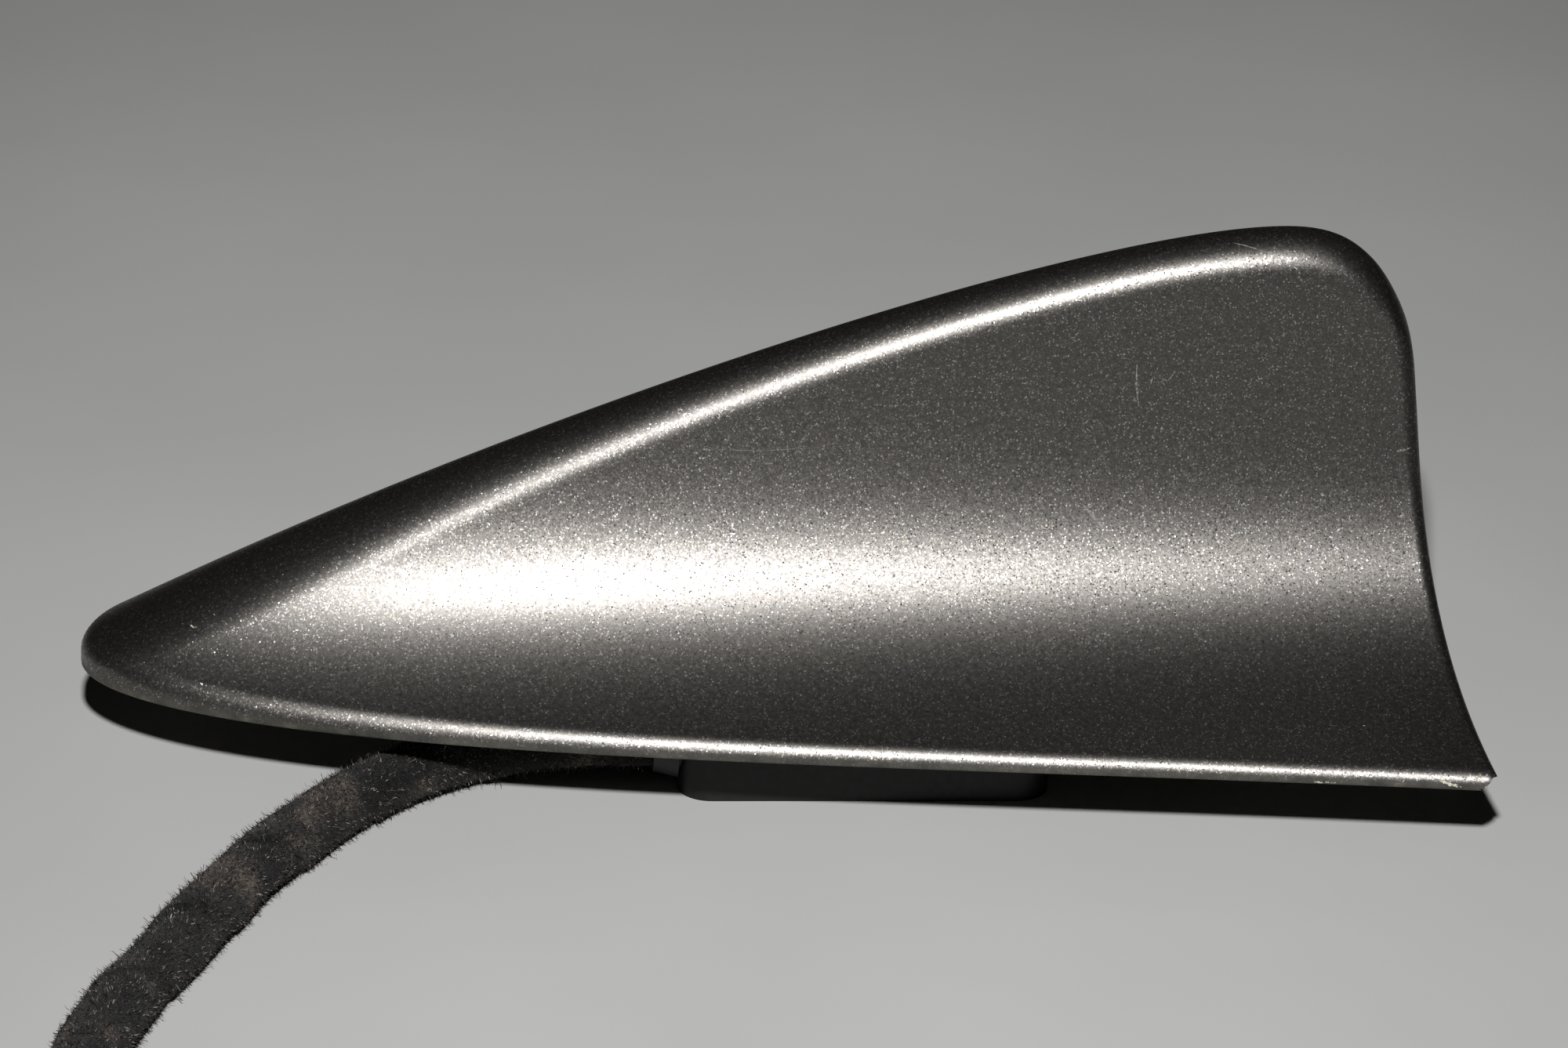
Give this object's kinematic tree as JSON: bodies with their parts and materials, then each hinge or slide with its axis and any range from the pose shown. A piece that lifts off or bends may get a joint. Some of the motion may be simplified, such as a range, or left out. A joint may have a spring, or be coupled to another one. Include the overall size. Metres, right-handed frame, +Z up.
{
  "type": "car roof antenna",
  "caption": "Shark-fin roof antenna for a car: hollow painted fin cover on a die-cast base with a threaded foot, boards inside, and a taped cable that ends in coaxial plugs.",
  "frame": {"origin": "where the axis of the fixing thread meets the plane of the roof, which is the lower face of the roof seal", "axes": "+X from the nose to the tail of the fin, +Z up from the roof"},
  "size_m": [0.1715, 0.1994, 0.0696],
  "materials": {
    "fin_paint": "dark grey metallic car paint on moulded plastic, scuffed and chipped",
    "die_cast_zinc": "die-cast, with a dull dark coat",
    "seal_rubber": "moulded black rubber",
    "screw_steel": "zinc plated",
    "circuit_board": "green solder mask",
    "tin_plate": "drawn tin plate",
    "patch_tile": "fired ceramic",
    "contact_metal": "plated contact metal",
    "holder_plastic": "moulded natural plastic",
    "lead_jacket": "black cable jacket",
    "fleece_tape": "black fleece wrapping tape",
    "plug_blue": "moulded blue plastic",
    "plug_red": "moulded dark red plastic",
    "plug_black": "moulded black plastic"
  },
  "bodies": {
    "root": {"fin_cover": "fin_paint", "base_plate": "die_cast_zinc", "roof_seal": "seal_rubber", "cover_screws": "screw_steel", "main_board": "circuit_board", "board_screws": "screw_steel", "shield_can": "tin_plate", "patch_ceramic": "patch_tile", "patch_pin": "contact_metal", "phone_element": "circuit_board", "element_holder": "holder_plastic", "contact_spring": "contact_metal", "coax_ferrules": "contact_metal", "inner_leads": "lead_jacket", "cable_grommet": "seal_rubber", "cable_run": "fleece_tape", "satellite_lead": "lead_jacket", "phone_lead": "lead_jacket", "radio_lead": "lead_jacket", "satellite_plug": "plug_blue", "phone_plug": "plug_red", "radio_plug": "plug_black", "plug_sleeves": "contact_metal", "plug_pins": "contact_metal"}
  },
  "joints": []
}
